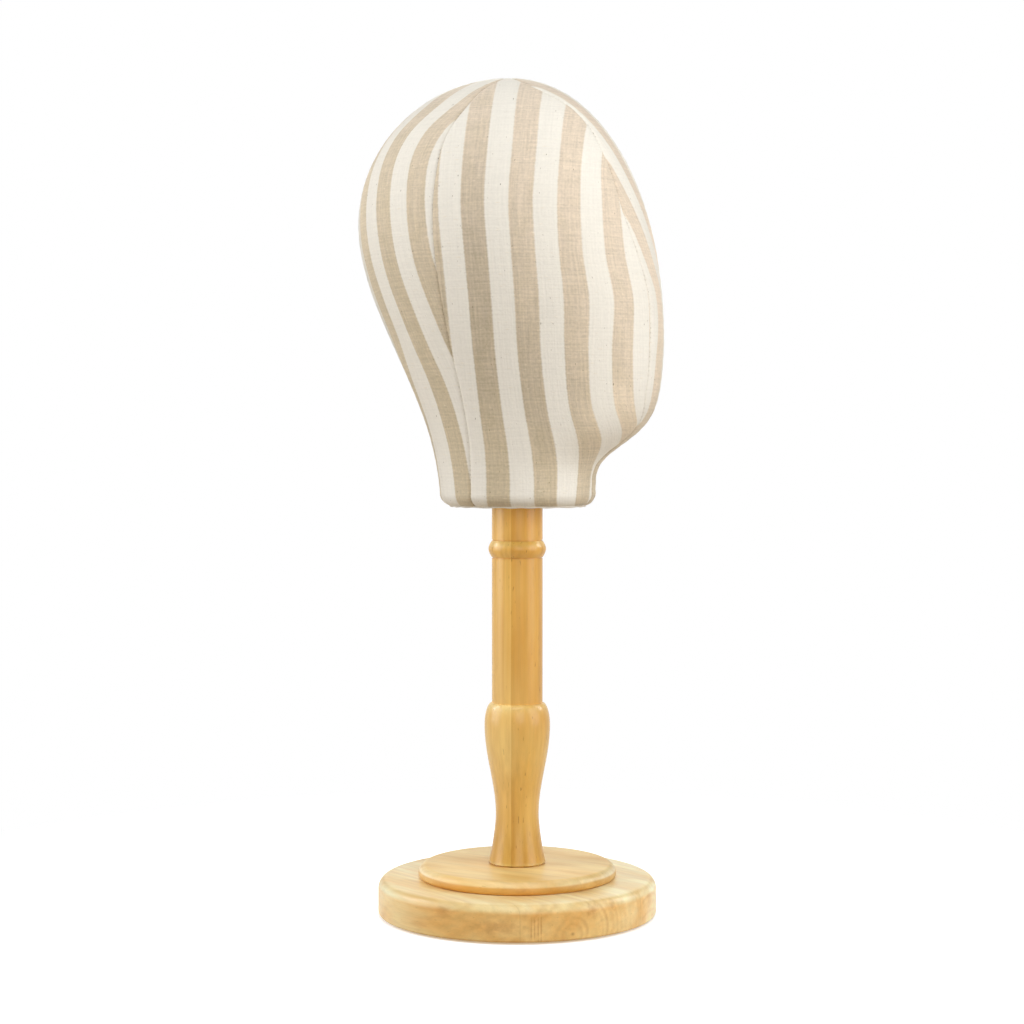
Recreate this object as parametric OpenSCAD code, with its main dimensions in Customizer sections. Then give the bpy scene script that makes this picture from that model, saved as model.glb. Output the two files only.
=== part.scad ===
// Wig stand: a turned wooden foot and post that carry a cloth-covered head.
// The head lifts off the post and turns on it. It faces +X.

/* [Base] */
// Diameter of the base disc
base_d = 180; // [150:1:240]
// Thickness of the base disc
base_t = 23; // [20:0.5:40]
// Round-over on the top edge of the base disc
base_round = 6.5; // [1:0.5:9]
// Small round-over on the lower edge of the base disc
base_arris = 1.5; // [0.5:0.5:3]
// Diameter of the riser disc on top of the base
riser_d = 128; // [110:1:140]
// Thickness of the riser disc
riser_t = 8.5; // [7:0.5:20]
// Round-over on the top edge of the riser
riser_round = 4; // [1:0.5:6]
// Round-over on the lower edge of the riser
riser_under = 2.5; // [0.5:0.5:2.5]
// Thickness of the felt glued under the base
felt_t = 1.5; // [1:0.5:4]
// Distance from the edge of the base to the edge of the felt
felt_margin = 8; // [4:1:20]

/* [Post] */
// Diameter of the post's foot where it stands on the riser
foot_d = 36.8; // [34:0.2:50]
// Diameter of the waist above the foot
waist_d = 27.8; // [24:0.2:33]
// Height of the waist above the riser
waist_h = 31.5; // [25:0.5:50]
// Greatest diameter of the vase
vase_d = 42.4; // [36:0.2:60]
// Height of the vase's greatest diameter above the riser
vase_h = 90; // [70:1:98]
// Height of the shoulder where the vase meets the column
shoulder_h = 104.5; // [100:0.5:140]
// Diameter of the plain column
column_d = 32.8; // [28:0.2:35]
// Height of the ring bead's middle above the riser
ring_h = 204; // [160:1:220]
// Width of the ring bead along the post
ring_w = 10.8; // [6:0.2:16]
// How far the ring bead stands out from the column
ring_proud = 2.2; // [1:0.1:5]
// Height of the neck's underside above the riser
neck_h = 232; // [228:1:300]
// Length of post inside the head
socket_depth = 90; // [60:1:110]
// Round-over on the hidden top end of the post
post_tip_round = 2; // [0.5:0.5:4]

/* [Post fixing] */
// Diameter of the spigot that centres the post in the riser
spigot_d = 22; // [18:0.5:26]
// Diameter of the bolt's shank
bolt_d = 8; // [6:1:9]
// Width across flats of the bolt's head
bolt_head_af = 13; // [12:1:15]
// Height of the bolt's head
bolt_head_h = 5.3; // [3:0.1:6]
// Outer diameter of the washer
washer_d = 20; // [18:1:22]
// Thickness of the washer
washer_t = 1.6; // [1:0.1:2.5]
// Outer diameter of the threaded insert
insert_d = 12; // [11:0.5:14]
// Length of the threaded insert
insert_l = 20; // [12:1:25]
// Depth of the recess for the bolt's head under the base
recess_depth = 9; // [8.5:0.5:12]
// Shank diameter of the riser's screws
screw_d = 4; // [3:0.5:5]
// Head diameter of the riser's screws
screw_head_d = 8; // [7:0.5:10]
// How deep each screw reaches into the riser
screw_bite = 5.5; // [3:0.5:6]
// Radius of the circle that the screws stand on
screw_circle_r = 44; // [30:1:50]
// Number of screws
screw_count = 3; // [2:1:6]

/* [Head] */
// Height of the head from the neck's underside to the crown
head_h = 273.5; // [260:0.5:300]
// Greatest width of the head
head_w = 154; // [130:1:180]
// Height of the greatest width above the neck's underside
widest_h = 170; // [140:1:190]
// Reach of the face in front of the post's axis
face_reach = 94.5; // [80:0.5:110]
// Height of the fullest part of the face above the neck's underside
face_h = 103; // [90:1:130]
// Reach of the back of the head behind the post's axis
occiput_reach = 103; // [85:0.5:120]
// Height of the fullest part of the back above the neck's underside
occiput_h = 180; // [160:1:200]
// Distance of the crown behind the post's axis
crown_setback = 6; // [0:0.5:20]
// Reach of the neck in front of the post's axis
neck_front = 50.5; // [45:0.5:60]
// Reach of the neck behind the post's axis
neck_back = 50; // [45:0.5:60]
// Width of the neck
neck_w = 96; // [88:1:110]
// Height of the middle of the slope under the chin
chin_h = 43; // [36:0.5:50]
// Round-over on the neck's lower edge
neck_round = 8; // [3:0.5:10]

/* [Cover] */
// Thickness of the cloth with its backing
cloth_t = 1; // [0.8:0.1:2]
// Depth that each seam is drawn in
seam_sink = 0.4; // [0:0.1:0.5]
// Gap between the cloth and the core
cloth_gap = 0.3; // [0.2:0.1:0.6]

/* [Head fixing] */
// Diameter of the board in the neck's underside
board_d = 68; // [56:1:70]
// Thickness of the board
board_t = 9; // [6:0.5:15]
// Wall of the socket tube
tube_wall = 3.7; // [2:0.1:6]
// Gap all round between the post and the socket tube
socket_gap = 0.3; // [0.2:0.1:0.6]
// Length of the plug that closes the socket tube
plug_l = 12; // [6:1:20]
// Thickness of the swivel pad
pad_t = 3; // [2:0.5:5]
// Distance from the rim of the post's top to the edge of the swivel pad
pad_margin = 2.5; // [2:0.5:5]
// Gap between parts that turn or lift on each other
run_gap = 0.2; // [0.1:0.05:0.4]
// Gap round pieces that are pressed or glued into a hole
glue_gap = 0.1; // [0.05:0.05:0.2]

/* [Hidden] */

$fn = 96;

// Colours
pale_timber = [0.90, 0.76, 0.53];
honey_timber = [0.86, 0.68, 0.40];
plywood = [0.82, 0.70, 0.50];
linen = [0.85, 0.79, 0.70];
foam = [0.94, 0.93, 0.88];
felt = [0.36, 0.33, 0.30];
steel = [0.72, 0.73, 0.75];
brass = [0.78, 0.64, 0.33];
tube_grey = [0.80, 0.80, 0.78];

// Steps that a curved stretch of a turned profile is drawn with
turn_steps = 18;
arc_steps = 8;
bead_steps = 14;
// How strongly the foot flares out below the waist
flare_power = 1.45;

// Levels up the stand
base_z = felt_t;
riser_z = base_z + base_t;
foot_z = riser_z + riser_t;
waist_z = foot_z + waist_h;
vase_z = foot_z + vase_h;
shoulder_z = foot_z + shoulder_h;
ring_z = foot_z + ring_h;
neck_z = foot_z + neck_h;
post_top_z = neck_z + socket_depth;
pad_z = post_top_z + run_gap;
plug_z = pad_z + pad_t + run_gap;
tube_top_z = plug_z + plug_l;

// Room left at the ends and round the sides of the fixings
spigot_gap = 0.3;
insert_setback = 1;
bolt_end_gap = 3;
bolt_clearance = 0.3;
recess_room = 2;
screw_hole_gap = 0.2;
// How far a cut runs past the face that it opens
cut = 1;

// Sizes of the fixings
spigot_z = riser_z + spigot_gap;
insert_z = spigot_z + insert_setback;
recess_z = base_z + recess_depth;
washer_z = recess_z - washer_t;
bolt_head_z = washer_z - bolt_head_h;
bolt_tip_z = insert_z + insert_l - bolt_end_gap;
bolt_hole_d = bolt_d + 2 * bolt_clearance;
recess_d = washer_d + 2 * recess_room;
countersink_h = (screw_head_d - screw_d) / 2;
screw_tip_z = riser_z + screw_bite;

// Sizes inside the head
tube_d = column_d + 2 * socket_gap + 2 * tube_wall;
tube_bore_d = column_d + 2 * socket_gap;
board_z = neck_z + cloth_t;
core_inset = cloth_t + cloth_gap;
crown_x = -crown_setback;

// Grid of the head's surface: columns in each gore, rows up the neck's edge, the face and the dome
face_columns = 4;
side_columns = 8;
back_columns = 7;
edge_rows = 3;
face_rows = 16;
dome_rows = 10;
// Rows lie closer together at the chin than at the temple
row_spread = 1.4;
last_row = edge_rows + face_rows + dome_rows - 1;

// Shape of the head's profile
chin_crispness = 4;
forehead_power = 2.12;
nape_power = 1.08;
nape_slope = 0.25;
cheek_slope = 0.3;

// Where the seams run, as shares of the head's height and angles round from the face
face_seam = [
    [0, 14], [0.155, 15], [0.26, 20], [0.45, 20],
    [0.66, 29], [0.88, 28.5], [0.96, 42], [1, 66]
];
back_seam = [[0, 118.5], [0.155, 113.5], [0.375, 112], [1, 111]];

// Rounded step from 0 to 1, with the given slope at its start
function ease(t, slope = 0) = (t * t * t - 2 * t * t + t) * slope + 3 * t * t - 2 * t * t * t;

function clamp01(t) = min(1, max(0, t));

// Slope of a smooth line at one of its stations, from the stations on either side
function station_slope(stations, i) =
    let (before = stations[max(i - 1, 0)], after = stations[min(i + 1, len(stations) - 1)])
        (after[1] - before[1]) / (after[0] - before[0]);

// Smooth line through stations of [place, value]
function along(stations, place, i = 0) =
    i == len(stations) - 2 || place < stations[i + 1][0]
        ? let (
            from = stations[i],
            to = stations[i + 1],
            span = to[0] - from[0],
            t = clamp01((place - from[0]) / span)
        )
            from[1] + (to[1] - from[1]) * ease(t)
                + span * station_slope(stations, i) * t * (1 - t) * (1 - t)
                - span * station_slope(stations, i + 1) * t * t * (1 - t)
        : along(stations, place, i + 1);

// Dome from 1 at its foot to 0 at the crown
function dome(h, foot, inset, power = 2) =
    let (t = clamp01((h - foot) / (head_h - inset - foot)))
        pow(max(0, 1 - pow(t, power)), 1 / power);

// Share of the way from the neck to the face, which swells quickly at the chin
function chin_curve(h) =
    let (
        t = clamp01((h - neck_round) / (face_h - neck_round)),
        middle = pow((chin_h - neck_round) / (face_h - neck_round), chin_crispness),
        rise = pow(t, chin_crispness)
    )
        (1 + middle) * rise / (rise + middle);

// Reach of the head's surface in front of the axis, drawn in by an inset
function front_x(h, inset) =
    h < face_h
        ? neck_front - inset + (face_reach - neck_front) * chin_curve(h)
        : crown_x + (face_reach - inset - crown_x) * dome(h, face_h, inset, forehead_power);

// Reach of the head's surface behind the axis
function back_x(h, inset) =
    h < occiput_h
        ? let (t = clamp01((h - neck_round) / (occiput_h - neck_round)))
            -(neck_back - inset + (occiput_reach - neck_back) * ease(pow(t, nape_power), nape_slope))
        : crown_x - (occiput_reach - inset + crown_x) * dome(h, occiput_h, inset);

// Half the head's width
function half_w(h, inset) =
    h < widest_h
        ? let (t = clamp01((h - neck_round) / (widest_h - neck_round)))
            neck_w / 2 - inset + (head_w - neck_w) / 2 * ease(t, cheek_slope)
        : (head_w / 2 - inset) * dome(h, widest_h, inset);

// Where along X the head is widest at a height
function widest_x(h) = crown_x * ease(clamp01(h / face_h));

// Height of a row of the grid: round the neck's edge, up the face, then over the dome
function row_h(row, inset) =
    row < edge_rows
        ? neck_round - (neck_round - inset) * cos(90 * row / edge_rows)
        : row < edge_rows + face_rows
            ? neck_round + (occiput_h - neck_round) * pow((row - edge_rows) / face_rows, row_spread)
            : occiput_h + (head_h - inset - occiput_h) * sin(90 * (row - edge_rows - face_rows) / dome_rows);

// How far a row on the neck's rounded edge lies in from the wall above it
function edge_in(row, inset) =
    row < edge_rows ? (neck_round - inset) * (1 - sin(90 * row / edge_rows)) : 0;

// Point of the head's surface, on the side where Y is negative
function head_point(angle, row, inset) =
    let (
        h = row_h(row, inset),
        level = max(h, neck_round),
        in = inset + edge_in(row, inset),
        middle = widest_x(level),
        reach = angle < 90 ? front_x(level, in) - middle : middle - back_x(level, in)
    )
        [middle + reach * cos(angle), -half_w(level, in) * sin(angle), neck_z + h];

function crown_point(inset) = [crown_x, 0, neck_z + head_h - inset];

// Seam angle at a row
function seam_angle(seam, row) = along(seam, row_h(row, 0) / head_h);

// Angles of a gore's columns at a row
function face_angles(row) =
    let (edge = seam_angle(face_seam, row)) [for (i = [0:face_columns]) edge * i / face_columns];
function side_angles(row) =
    let (from = seam_angle(face_seam, row), to = seam_angle(back_seam, row))
        [for (i = [0:side_columns]) from + (to - from) * i / side_columns];
function back_angles(row) =
    let (from = seam_angle(back_seam, row))
        [for (i = [0:back_columns]) from + (180 - from) * i / back_columns];

// Inset of a column: the two edge columns are the seams, which are drawn in
function seam_inset(i, columns) = i == 0 || i == columns ? seam_sink : 0;

// Shell of one gore between two seams, with a grid of points outside and inside
module gore(rows_of_angles) {
    columns = len(rows_of_angles[0]) - 1;
    wide = columns + 1;
    tall = last_row + 1;
    skin = wide * tall;
    outer = [
        for (row = [0:last_row]) for (i = [0:columns])
            head_point(rows_of_angles[row][i], row, seam_inset(i, columns))
    ];
    inner = [
        for (row = [0:last_row]) for (i = [0:columns])
            head_point(rows_of_angles[row][i], row, cloth_t)
    ];
    outer_crown = 2 * skin;
    inner_crown = outer_crown + 1;
    top = last_row * wide;
    faces = concat(
        [for (row = [0:last_row - 1]) for (i = [0:columns - 1])
            let (a = row * wide + i) each [[a, a + wide, a + 1], [a + 1, a + wide, a + wide + 1]]],
        [for (i = [0:columns - 1]) [top + i, outer_crown, top + i + 1]],
        [for (row = [0:last_row - 1]) for (i = [0:columns - 1])
            let (a = skin + row * wide + i) each [[a, a + 1, a + wide], [a + 1, a + wide + 1, a + wide]]],
        [for (i = [0:columns - 1]) [skin + top + i, skin + top + i + 1, inner_crown]],
        [for (i = [0:columns - 1]) each [[i, i + 1, skin + i], [i + 1, skin + i + 1, skin + i]]],
        [for (row = [0:last_row - 1])
            let (a = row * wide, b = a + wide)
                each [[a, skin + a, b], [skin + a, skin + b, b]]],
        [[top, skin + top, outer_crown], [skin + top, inner_crown, outer_crown]],
        [for (row = [0:last_row - 1])
            let (a = row * wide + columns, b = a + wide)
                each [[a, b, skin + a], [skin + a, b, skin + b]]],
        [[top + columns, outer_crown, skin + top + columns],
         [skin + top + columns, outer_crown, inner_crown]]
    );
    polyhedron(concat(outer, inner, [crown_point(seam_sink), crown_point(cloth_t)]), faces);
}

// Angles all round the head at a row, on the right half and then back along the left
function half_angles(row) = concat(
    face_angles(row),
    [for (i = [1:side_columns]) side_angles(row)[i]],
    [for (i = [1:back_columns]) back_angles(row)[i]]
);

function flip_y(p) = [p[0], -p[1], p[2]];

// Closed loop of surface points at a row
function head_loop(row, inset) =
    let (angles = half_angles(row), half = [for (a = angles) head_point(a, row, inset)])
        concat(half, [for (i = [len(half) - 2:-1:1]) flip_y(half[i])]);

// Solid inside the cover, closed flat at the neck's underside
module head_form(inset) {
    count = len(head_loop(0, inset));
    crown = count * (last_row + 1);
    top = count * last_row;
    faces = concat(
        [[for (i = [0:count - 1]) i]],
        [for (row = [0:last_row - 1]) for (i = [0:count - 1])
            let (a = row * count + i, b = row * count + (i + 1) % count)
                each [[a, a + count, b], [b, a + count, b + count]]],
        [for (i = [0:count - 1]) [top + i, crown, top + (i + 1) % count]]
    );
    points = concat([for (row = [0:last_row]) each head_loop(row, inset)], [crown_point(inset)]);
    polyhedron(points, faces);
}

// Quarter round from the top of a disc's rim to its side
function quarter_round(rim_r, top_z, r) =
    [for (i = [0:arc_steps]) [rim_r - r + r * sin(90 * i / arc_steps), top_z - r + r * cos(90 * i / arc_steps)]];

// Quarter round from a disc's side to its underside
function lower_round(rim_r, low_z, r) =
    [for (i = [0:arc_steps]) [rim_r - r + r * cos(90 * i / arc_steps), low_z + r - r * sin(90 * i / arc_steps)]];

// Places of the riser's screws
module at_screws() {
    for (i = [0:screw_count - 1])
        rotate(360 * (i + 0.5) / screw_count) translate([screw_circle_r, 0, 0]) children();
}

// Countersunk screw from below, made larger by a gap for its hole
module screw_shape(gap, tip_z) {
    translate([0, 0, base_z]) {
        cylinder(d1 = screw_head_d + 2 * gap, d2 = screw_d + 2 * gap, h = countersink_h);
        cylinder(d = screw_d + 2 * gap, h = tip_z - base_z);
    }
}

module base_felt() {
    color(felt) cylinder(d = base_d - 2 * felt_margin, h = felt_t);
}

module base_disc() {
    color(pale_timber)
        difference() {
            rotate_extrude()
                polygon(concat(
                    [[0, base_z], [0, riser_z]],
                    quarter_round(base_d / 2, riser_z, base_round),
                    lower_round(base_d / 2, base_z, base_arris)
                ));
            translate([0, 0, base_z - cut]) cylinder(d = recess_d, h = recess_depth + cut);
            translate([0, 0, base_z]) cylinder(d = bolt_hole_d, h = base_t + cut);
            at_screws() screw_shape(screw_hole_gap, riser_z + cut);
        }
}

module base_riser() {
    color(pale_timber)
        difference() {
            rotate_extrude()
                polygon(concat(
                    [[0, riser_z], [0, foot_z]],
                    quarter_round(riser_d / 2, foot_z, riser_round),
                    lower_round(riser_d / 2, riser_z, riser_under)
                ));
            translate([0, 0, riser_z - cut]) cylinder(d = spigot_d + 2 * glue_gap, h = riser_t + 2 * cut);
            at_screws() screw_shape(screw_hole_gap, screw_tip_z + spigot_gap);
        }
}

module riser_screws() {
    color(steel) at_screws() screw_shape(0, screw_tip_z);
}

module base_washer() {
    color(steel)
        translate([0, 0, washer_z])
            difference() {
                cylinder(d = washer_d, h = washer_t);
                translate([0, 0, -cut]) cylinder(d = bolt_hole_d, h = washer_t + 2 * cut);
            }
}

module base_bolt() {
    color(steel) {
        translate([0, 0, bolt_head_z]) cylinder(d = bolt_head_af / cos(30), h = bolt_head_h, $fn = 6);
        translate([0, 0, bolt_head_z]) cylinder(d = bolt_d, h = bolt_tip_z - bolt_head_z);
    }
}

module post_insert() {
    color(brass)
        translate([0, 0, insert_z])
            difference() {
                cylinder(d = insert_d, h = insert_l);
                translate([0, 0, -cut]) cylinder(d = bolt_d + 2 * glue_gap, h = insert_l + 2 * cut);
            }
}

// Outline of the post from its spigot up to its top end
function foot_flare() =
    [for (i = [0:turn_steps])
        let (t = i / turn_steps)
            [waist_d / 2 + (foot_d - waist_d) / 2 * pow(1 - t, flare_power), foot_z + waist_h * t]];
function vase_belly() =
    [for (i = [1:turn_steps])
        let (t = i / turn_steps)
            [waist_d / 2 + (vase_d - waist_d) / 2 * (1 - cos(180 * t)) / 2, waist_z + (vase_z - waist_z) * t]];
function vase_shoulder() =
    [for (i = [1:turn_steps])
        let (a = 90 * i / turn_steps)
            [column_d / 2 + (vase_d - column_d) / 2 * cos(a), vase_z + (shoulder_z - vase_z) * sin(a)]];
function ring_bead() =
    [for (i = [0:bead_steps])
        let (a = 180 * i / bead_steps)
            [column_d / 2 + ring_proud * sin(a), ring_z + ring_w * (a / 180 - 0.5)]];
function post_tip() =
    [for (i = [0:arc_steps])
        let (a = 90 * i / arc_steps)
            [column_d / 2 - post_tip_round * (1 - cos(a)), post_top_z - post_tip_round * (1 - sin(a))]];

module post() {
    color(honey_timber)
        difference() {
            rotate_extrude()
                polygon(concat(
                    [[0, spigot_z], [spigot_d / 2, spigot_z], [spigot_d / 2, foot_z]],
                    foot_flare(), vase_belly(), vase_shoulder(), ring_bead(), post_tip(),
                    [[0, post_top_z]]
                ));
            translate([0, 0, spigot_z - cut])
                cylinder(d = insert_d + 2 * glue_gap, h = insert_setback + insert_l + glue_gap + cut);
        }
}

module swivel_pad() {
    color(felt) translate([0, 0, pad_z]) cylinder(d = column_d - 2 * pad_margin, h = pad_t);
}

module head_core() {
    color(foam)
        difference() {
            head_form(core_inset);
            translate([0, 0, neck_z]) cylinder(d = board_d + 2 * glue_gap, h = cloth_t + board_t + glue_gap);
            translate([0, 0, neck_z])
                cylinder(d = tube_d + 2 * glue_gap, h = tube_top_z + glue_gap - neck_z);
        }
}

module neck_board() {
    color(plywood)
        translate([0, 0, board_z])
            difference() {
                cylinder(d = board_d, h = board_t);
                translate([0, 0, -cut]) cylinder(d = tube_d + 2 * glue_gap, h = board_t + 2 * cut);
            }
}

module socket_tube() {
    color(tube_grey)
        translate([0, 0, neck_z])
            difference() {
                cylinder(d = tube_d, h = tube_top_z - neck_z);
                translate([0, 0, -cut]) cylinder(d = tube_bore_d, h = tube_top_z - neck_z + 2 * cut);
            }
}

module socket_plug() {
    color(plywood) translate([0, 0, plug_z]) cylinder(d = tube_bore_d - 2 * glue_gap, h = plug_l);
}

module neck_base_cloth() {
    color(linen)
        translate([0, 0, neck_z])
            difference() {
                linear_extrude(cloth_t) polygon([for (p = head_loop(0, cloth_t)) [p[0], p[1]]]);
                translate([0, 0, -cut]) cylinder(d = tube_d + 2 * glue_gap, h = cloth_t + 2 * cut);
            }
}

module face_panel_right() {
    color(linen) gore([for (row = [0:last_row]) face_angles(row)]);
}

module side_panel_right() {
    color(linen) gore([for (row = [0:last_row]) side_angles(row)]);
}

module back_panel_right() {
    color(linen) gore([for (row = [0:last_row]) back_angles(row)]);
}

module face_panel_left() {
    mirror([0, 1, 0]) face_panel_right();
}

module side_panel_left() {
    mirror([0, 1, 0]) side_panel_right();
}

module back_panel_left() {
    mirror([0, 1, 0]) back_panel_right();
}

base_felt();
base_disc();
base_riser();
riser_screws();
base_washer();
base_bolt();
post();
post_insert();
swivel_pad();
head_core();
neck_board();
socket_tube();
socket_plug();
neck_base_cloth();
face_panel_right();
face_panel_left();
side_panel_right();
side_panel_left();
back_panel_right();
back_panel_left();
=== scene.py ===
import math

import bpy
import numpy as np
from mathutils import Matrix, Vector, noise


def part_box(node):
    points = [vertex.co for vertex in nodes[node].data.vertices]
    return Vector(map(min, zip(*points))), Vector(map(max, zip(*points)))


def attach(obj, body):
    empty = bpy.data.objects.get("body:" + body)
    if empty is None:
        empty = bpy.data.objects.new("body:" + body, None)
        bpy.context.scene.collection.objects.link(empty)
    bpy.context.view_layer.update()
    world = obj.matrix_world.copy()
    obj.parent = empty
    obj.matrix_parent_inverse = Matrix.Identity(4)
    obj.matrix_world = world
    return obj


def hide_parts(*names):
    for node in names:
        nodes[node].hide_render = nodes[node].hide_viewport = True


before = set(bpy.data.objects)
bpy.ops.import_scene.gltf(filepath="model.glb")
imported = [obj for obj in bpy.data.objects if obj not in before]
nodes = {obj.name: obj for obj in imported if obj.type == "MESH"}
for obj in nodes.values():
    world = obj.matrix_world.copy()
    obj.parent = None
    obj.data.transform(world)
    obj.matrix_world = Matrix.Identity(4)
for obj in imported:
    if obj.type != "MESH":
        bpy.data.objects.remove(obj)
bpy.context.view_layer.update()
scene = bpy.context.scene
scene.view_settings.view_transform = "Standard"
mm = 0.001
print("frame loaded with", len(nodes), "nodes")

# Camera, fitted to the ellipses of the base and the outline of the post
cameraFit = {
    "turnDeg": 9.0,  # round from square-on, towards the face
    "distance": 1.384,
    "height": 0.3071,
    "aside": -0.0034,
    "tiltDown": 0.0335,
    "lens": 75.4,
    "sensorMm": 36,
}
turn = math.radians(cameraFit["turnDeg"])
viewRight = Vector((math.cos(turn), math.sin(turn), 0))
viewAway = Vector((-math.sin(turn), math.cos(turn), 0))
up = Vector((0, 0, 1))
camera = bpy.data.objects.new("camera", bpy.data.cameras.new("camera"))
scene.collection.objects.link(camera)
camera.data.lens = cameraFit["lens"]
camera.data.sensor_width = cameraFit["sensorMm"]
camera.location = (viewRight * cameraFit["aside"] - viewAway * cameraFit["distance"]
                   + up * cameraFit["height"])
lookAlong = viewAway * math.cos(cameraFit["tiltDown"]) - up * math.sin(cameraFit["tiltDown"])
camera.rotation_mode = "QUATERNION"
camera.rotation_quaternion = lookAlong.to_track_quat("-Z", "Y")
scene.camera = camera
print("camera placed")


# Helpers for meshes and materials
def linearColour(hexText):
    parts = [int(hexText[i:i + 2], 16) / 255 for i in (1, 3, 5)]
    return [c / 12.92 if c < 0.04045 else ((c + 0.055) / 1.055) ** 2.4 for c in parts] + [1.0]


# a node given as an input stands for its first live output, and a hex text for its colour
def nodeAdder(owner):
    owner.use_nodes = True
    tree = owner.node_tree
    tree.nodes.clear()

    def add(kind, inputs=None, **settings):
        node = tree.nodes.new("ShaderNode" + kind)
        for key, value in settings.items():
            setattr(node, key, value)
        for key, value in (inputs or {}).items():
            if isinstance(value, bpy.types.Node):
                value = next(socket for socket in value.outputs if socket.enabled)
            if isinstance(value, bpy.types.NodeSocket):
                tree.links.new(value, node.inputs[key])
            else:
                node.inputs[key].default_value = linearColour(value) if isinstance(value, str) else value
        return node

    return add


def newMaterial(name):
    material = bpy.data.materials.new(name)
    return material, nodeAdder(material)


def finishMaterial(add, inputs):
    add("OutputMaterial", {"Surface": add("BsdfPrincipled", inputs)})


def makePiece(name, points, faces, material, body, sharpDeg=35):
    mesh = bpy.data.meshes.new(name)
    mesh.from_pydata((np.asarray(points) * mm).tolist(), [], faces)
    mesh.validate()
    mesh.polygons.foreach_set("use_smooth", [True] * len(mesh.polygons))
    mesh.set_sharp_from_angle(angle=math.radians(sharpDeg))
    mesh.materials.append(material)
    piece = bpy.data.objects.new(name, mesh)
    scene.collection.objects.link(piece)
    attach(piece, body)
    return piece


def addNumbers(piece, name, values):
    attribute = piece.data.attributes.new(name, "FLOAT", "POINT")
    attribute.data.foreach_set("value", np.asarray(values, np.float32).ravel())


def gridFaces(rows, columns, start=0, flip=False, wrap=False, closed=False):
    faces = []
    for r in range(rows if closed else rows - 1):
        low, high = start + r * columns, start + (r + 1) % rows * columns
        for c in range(columns if wrap else columns - 1):
            n = (c + 1) % columns
            face = (low + c, low + n, high + n, high + c)
            faces.append(face[::-1] if flip else face)
    return faces


# a colour factor that changes smoothly from one station to the next
def tintBy(add, value, stations):
    tint = stations[0][1]
    for (low, lowTint), (high, highTint) in zip(stations, stations[1:]):
        share = add("MapRange", {
            "Value": value, "From Min": low, "From Max": high}, interpolation_type="SMOOTHSTEP")
        change = [b - a for a, b in zip(lowTint, highTint)]
        tint = add("VectorMath", {0: share, 1: change, 2: tint}, operation="MULTIPLY_ADD")
    return tint


# Linen and cotton, plain woven with dyed warp stripes: flat, dry, a little uneven in the yarn, with dark
# flecks of straw
linenLook = {
    "cream": "#EDE8DD",
    "flax": "#CBBCA0",
    # the stripe colour where painted light makes it paler
    "paintedLitFlax": "#DDCDB8",
    "fleck": "#6E5638",
    "pale": "#E9DDC8",
    "stripeMm": 15.0,
    "edgeMm": 0.5,
    "stitchMm": 3.0,
    "fuzzShow": 0.7,
    # painted light and shade on the beige stripes, set from the photo: painted shade darker on the near side
    # and under the cheek, painted light paler at the chin, and painted sheen paler at the nape and down the
    # middle of the back and the face; middle in m, half sizes in m, change of tone
    "places": [
        ((-0.015, -0.078, 0.395), (0.035, 0.05, 0.13), -0.14),
        ((0.023, -0.067, 0.341), (0.035, 0.05, 0.06), -0.11),
        ((0.07, -0.03, 0.325), (0.03, 0.05, 0.03), 0.14),
        ((-0.112, 0.0, 0.43), (0.04, 0.07, 0.14), 0.3),
        ((-0.085, 0.0, 0.34), (0.04, 0.06, 0.08), 0.25),
        ((0.1, 0.0, 0.41), (0.03, 0.05, 0.14), 0.16),
    ],
    # each unevenness: its size across and along the cloth in mm, and its detail; the thread is drawn 1.3 mm
    # wide so that it shows in the render, where the real one is about 0.7 mm
    "edges": (12.5, 1.3, 2.0), "warp": (1.3, 30, 2.0), "weft": (22, 1.3, 2.0), "patches": (9, 14, 3.0),
    "hairs": (1.7, 1.7, 2.0), "flecks": (1.5, 3.2, 1.0), "slubs": (5.5, 1.1, 1.0),
    # the last entry of the next line is the length in mm of the runs of painted shade along the seams
    "slubShift": (31.0, 17.0, 0), "seamShadeRunMm": 17,
    # the next line sets where painted light makes the beige stripes paler: its direction and its range
    "paintedLightToward": (5.5, 0.0, 4.2), "paleFrom": 1.63, "paleTo": 2.63,
}


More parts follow.
